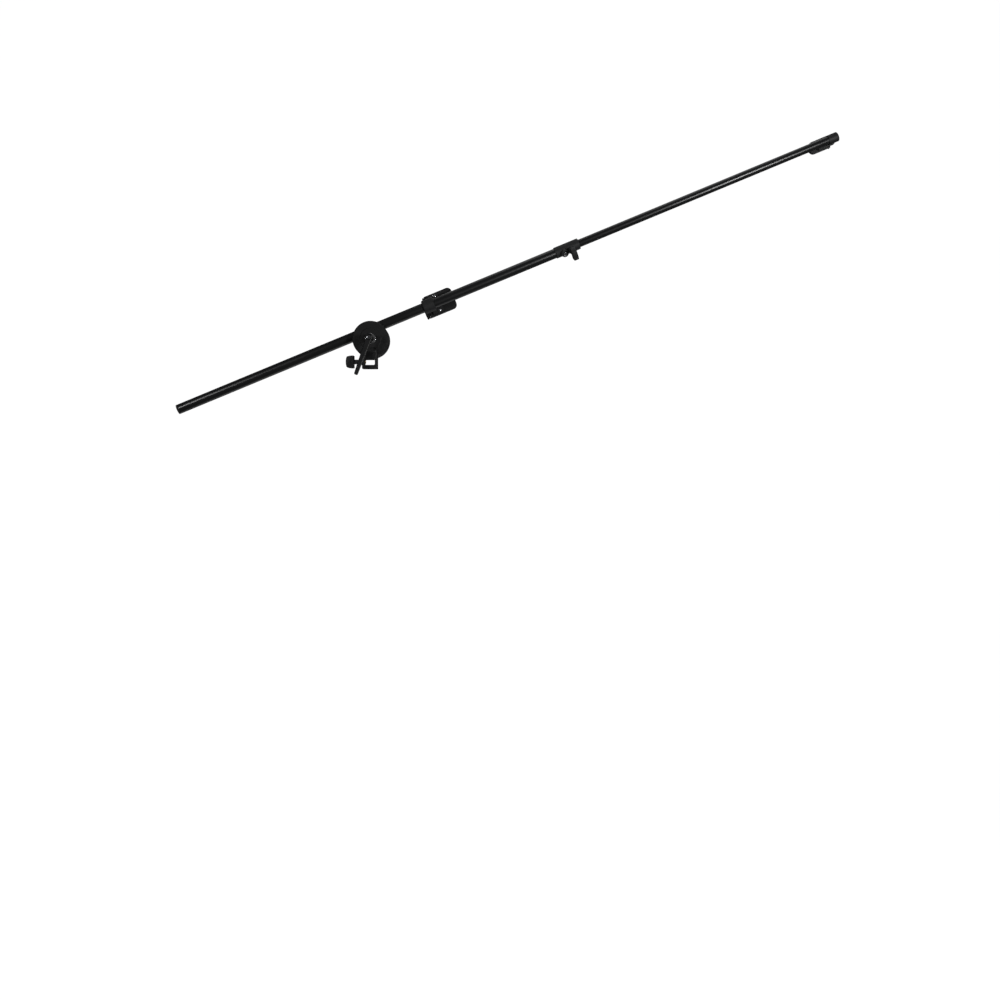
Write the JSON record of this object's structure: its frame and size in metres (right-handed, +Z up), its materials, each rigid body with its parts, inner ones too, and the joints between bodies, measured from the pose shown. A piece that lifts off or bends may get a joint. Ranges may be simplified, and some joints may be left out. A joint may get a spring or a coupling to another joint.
{
  "type": "reflector holder arm",
  "caption": "Telescopic reflector holder arm with a grip head on a stud socket, a tightening lever and a sprung clip near each half's end.",
  "frame": {"origin": "centre of the flat seat at the top of the stud socket, on the stud's axis", "axes": "+Z up along the stud, +Y from the lever side to the arm side (away from the camera), +X to the arm's long end"},
  "size_m": [1.3539, 0.1169, 0.5754],
  "materials": {
    "cast_black": "black paint over a sand-cast zinc alloy, slightly rough",
    "coat_black": "smooth semi-gloss black powder coat over steel",
    "plastic_black": "moulded black glass-filled nylon, fine satin",
    "rubber_black": "matte black rubber",
    "chrome": "bright nickel-chrome plating",
    "steel": "plain zinc-plated steel",
    "brass": "plain turned brass",
    "nylon": "natural nylon"
  },
  "bodies": {
    "socket": {"socket_body": "cast_black", "friction_ring": "rubber_black", "lever_washer": "chrome"},
    "stud_screw": {"stud_screw": "steel", "stud_screw_tip": "brass"},
    "stud_knob": {"stud_knob": "plastic_black"},
    "clamp": {"inner_clamp_disc": "cast_black", "outer_clamp_disc": "cast_black", "groove_liner_inner": "rubber_black", "groove_liner_outer": "rubber_black", "clamp_bolt": "chrome", "clamp_spring": "steel"},
    "lever_core": {"lever_insert": "steel", "lever_screw": "chrome", "lever_spring": "steel"},
    "lever_handle": {"lever_handle": "cast_black"},
    "boom": {"outer_tube": "coat_black", "rear_plug": "plastic_black", "lock_collar": "plastic_black", "lock_bush": "nylon", "lock_fixing_screw": "chrome"},
    "lock_screw": {"lock_screw": "steel", "lock_shoe": "brass"},
    "lock_knob": {"lock_knob": "plastic_black"},
    "extension": {"inner_tube": "coat_black", "guide_bush": "nylon"},
    "near_clip": {"near_clip_collar": "plastic_black", "near_grub_screw": "steel", "near_lower_screw": "chrome", "near_upper_screw": "chrome", "near_front_jaw": "coat_black", "near_front_pad": "rubber_black", "near_hinge_pin": "steel", "near_spring": "steel"},
    "near_jaw": {"near_rear_jaw": "coat_black", "near_rear_pad": "rubber_black"},
    "far_clip": {"far_clip_cap": "plastic_black", "far_grub_screw": "steel", "far_rivet_1": "steel", "far_rivet_2": "steel", "far_front_jaw": "coat_black", "far_front_pad": "rubber_black", "far_hinge_pin": "steel", "far_spring": "steel"},
    "far_jaw": {"far_rear_jaw": "coat_black", "far_rear_pad": "rubber_black"}
  },
  "joints": [
    {"name": "arm_tilt", "type": "hinge", "parent": "socket", "child": "clamp", "pos_m": [0, 0, 0.031], "axis": [0, -1, 0], "range_deg": [-112.5, 67.5]},
    {"name": "boom_slide", "type": "slide", "parent": "clamp", "child": "boom", "axis": [0.9239, 0, 0.3827], "range_m": [-0.04, 0.36]},
    {"name": "telescope_slide", "type": "slide", "parent": "boom", "child": "extension", "axis": [0.9239, 0, 0.3827], "range_m": [-0.5, 0.18]},
    {"name": "near_clip_turn", "type": "hinge", "parent": "boom", "child": "near_clip", "pos_m": [0.11622, 0.0323, 0.10187], "axis": [0.9239, 0, 0.3827], "continuous": true},
    {"name": "near_jaw_open", "type": "hinge", "parent": "near_clip", "child": "near_jaw", "pos_m": [0.11207, 0.0512, 0.10015], "axis": [-0.3827, 0, 0.9239], "range_deg": [0, 45], "stiffness_Nm_per_rad": 0.25, "springref_deg": -57.3},
    {"name": "far_clip_turn", "type": "hinge", "parent": "extension", "child": "far_clip", "pos_m": [0.93524, 0.0323, 0.44112], "axis": [0.9239, 0, 0.3827], "continuous": true},
    {"name": "far_jaw_open", "type": "hinge", "parent": "far_clip", "child": "far_jaw", "pos_m": [0.93524, 0.0512, 0.44112], "axis": [0.3827, 0, -0.9239], "range_deg": [0, 45], "stiffness_Nm_per_rad": 0.15, "springref_deg": -57.3},
    {"name": "lever_turn", "type": "hinge", "parent": "clamp", "child": "lever_core", "pos_m": [0, 0, 0.031], "axis": [0, -1, 0], "range_deg": [0, 270]},
    {"name": "lever_pull", "type": "slide", "parent": "lever_core", "child": "lever_handle", "axis": [0, -1, 0], "range_m": [0, 0.004], "stiffness_N_per_m": 800, "springref_m": -0.003, "deforming": ["lever_spring"]},
    {"name": "stud_screw_travel", "type": "slide", "parent": "socket", "child": "stud_screw", "axis": [-1, 0, 0], "range_m": [0, 0.0025]},
    {"name": "stud_knob_turn", "type": "hinge", "parent": "stud_screw", "child": "stud_knob", "pos_m": [-0.024, 0, -0.0165], "axis": [-1, 0, 0], "range_deg": [0, 730]},
    {"name": "lock_screw_travel", "type": "slide", "parent": "boom", "child": "lock_screw", "axis": [0.246, -0.766, -0.5939], "range_m": [0, 0.002]},
    {"name": "lock_knob_turn", "type": "hinge", "parent": "lock_screw", "child": "lock_knob", "pos_m": [0.41109, 0.01315, 0.20661], "axis": [0.246, -0.766, -0.5939], "range_deg": [0, 730]}
  ],
  "couplings": [
    {"joint": "stud_knob_turn", "follows": "stud_screw_travel", "rad_per_m": 5026.5},
    {"joint": "lock_knob_turn", "follows": "lock_screw_travel", "rad_per_m": 6283}
  ]
}
